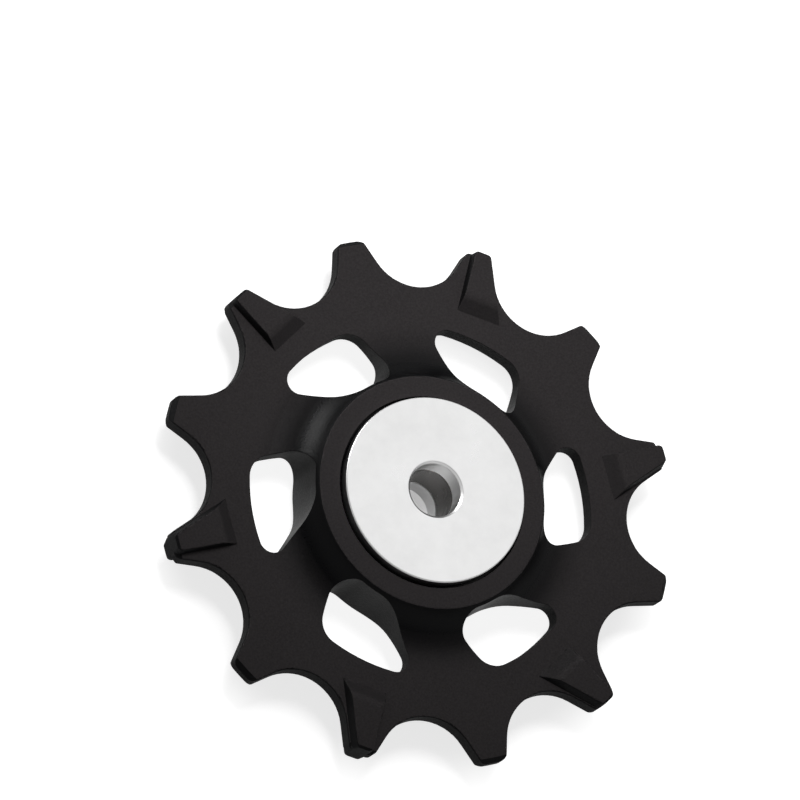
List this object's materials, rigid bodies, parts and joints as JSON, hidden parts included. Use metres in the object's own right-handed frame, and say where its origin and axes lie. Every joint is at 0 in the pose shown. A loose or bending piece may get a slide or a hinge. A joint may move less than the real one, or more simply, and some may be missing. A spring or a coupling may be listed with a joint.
{
  "type": "jockey wheel",
  "caption": "Toothed guide wheel with alternate wide teeth and six windows, on a sealed ball bearing between two turned covers.",
  "frame": {"origin": "on the bore axis, in the middle plane of the teeth", "axes": "+Z along the bore axis out of the front cover, +X out through the first wide tooth, +Y completes the right hand"},
  "size_m": [0.05, 0.05, 0.0082],
  "materials": {
    "moulded_plastic": "fine matt moulded grain",
    "cover_aluminium": "turned and silver plated, satin",
    "race_steel": "ground",
    "ball_steel": "polished",
    "cage_steel": "pressed sheet",
    "seal_rubber": "moulded"
  },
  "bodies": {
    "hub": {"bearing_inner_race": "race_steel", "cover_front": "cover_aluminium", "cover_rear": "cover_aluminium"},
    "wheel": {"wheel": "moulded_plastic", "bearing_outer_race": "race_steel", "bearing_seal_front": "seal_rubber", "bearing_seal_rear": "seal_rubber"},
    "cage": {"cage_front": "cage_steel", "cage_rear": "cage_steel", "cage_rivets": "cage_steel"},
    "ball_1": {"ball_1": "ball_steel"},
    "ball_2": {"ball_2": "ball_steel"},
    "ball_3": {"ball_3": "ball_steel"},
    "ball_4": {"ball_4": "ball_steel"},
    "ball_5": {"ball_5": "ball_steel"},
    "ball_6": {"ball_6": "ball_steel"},
    "ball_7": {"ball_7": "ball_steel"},
    "ball_8": {"ball_8": "ball_steel"}
  },
  "joints": [
    {"name": "wheel_spin", "type": "hinge", "parent": "hub", "child": "wheel", "pos_m": [0, 0, 0], "axis": [0, 0, 1], "continuous": true},
    {"name": "cage_orbit", "type": "hinge", "parent": "hub", "child": "cage", "pos_m": [0, 0, 0], "axis": [0, 0, 1], "continuous": true},
    {"name": "ball_1_spin", "type": "hinge", "parent": "cage", "child": "ball_1", "pos_m": [0.0045, 0, 0], "axis": [0, 0, 1], "continuous": true},
    {"name": "ball_2_spin", "type": "hinge", "parent": "cage", "child": "ball_2", "pos_m": [0.00318, 0.00318, 0], "axis": [0, 0, 1], "continuous": true},
    {"name": "ball_3_spin", "type": "hinge", "parent": "cage", "child": "ball_3", "pos_m": [0, 0.0045, 0], "axis": [0, 0, 1], "continuous": true},
    {"name": "ball_4_spin", "type": "hinge", "parent": "cage", "child": "ball_4", "pos_m": [-0.00318, 0.00318, 0], "axis": [0, 0, 1], "continuous": true},
    {"name": "ball_5_spin", "type": "hinge", "parent": "cage", "child": "ball_5", "pos_m": [-0.0045, 0, 0], "axis": [0, 0, 1], "continuous": true},
    {"name": "ball_6_spin", "type": "hinge", "parent": "cage", "child": "ball_6", "pos_m": [-0.00318, -0.00318, 0], "axis": [0, 0, 1], "continuous": true},
    {"name": "ball_7_spin", "type": "hinge", "parent": "cage", "child": "ball_7", "pos_m": [0, -0.0045, 0], "axis": [0, 0, 1], "continuous": true},
    {"name": "ball_8_spin", "type": "hinge", "parent": "cage", "child": "ball_8", "pos_m": [0.00318, -0.00318, 0], "axis": [0, 0, 1], "continuous": true}
  ],
  "couplings": [
    {"joint": "cage_orbit", "follows": "wheel_spin", "ratio": 0.61111},
    {"joint": "ball_1_spin", "follows": "wheel_spin", "ratio": 2.1389},
    {"joint": "ball_2_spin", "follows": "wheel_spin", "ratio": 2.1389},
    {"joint": "ball_3_spin", "follows": "wheel_spin", "ratio": 2.1389},
    {"joint": "ball_4_spin", "follows": "wheel_spin", "ratio": 2.1389},
    {"joint": "ball_5_spin", "follows": "wheel_spin", "ratio": 2.1389},
    {"joint": "ball_6_spin", "follows": "wheel_spin", "ratio": 2.1389},
    {"joint": "ball_7_spin", "follows": "wheel_spin", "ratio": 2.1389},
    {"joint": "ball_8_spin", "follows": "wheel_spin", "ratio": 2.1389}
  ]
}
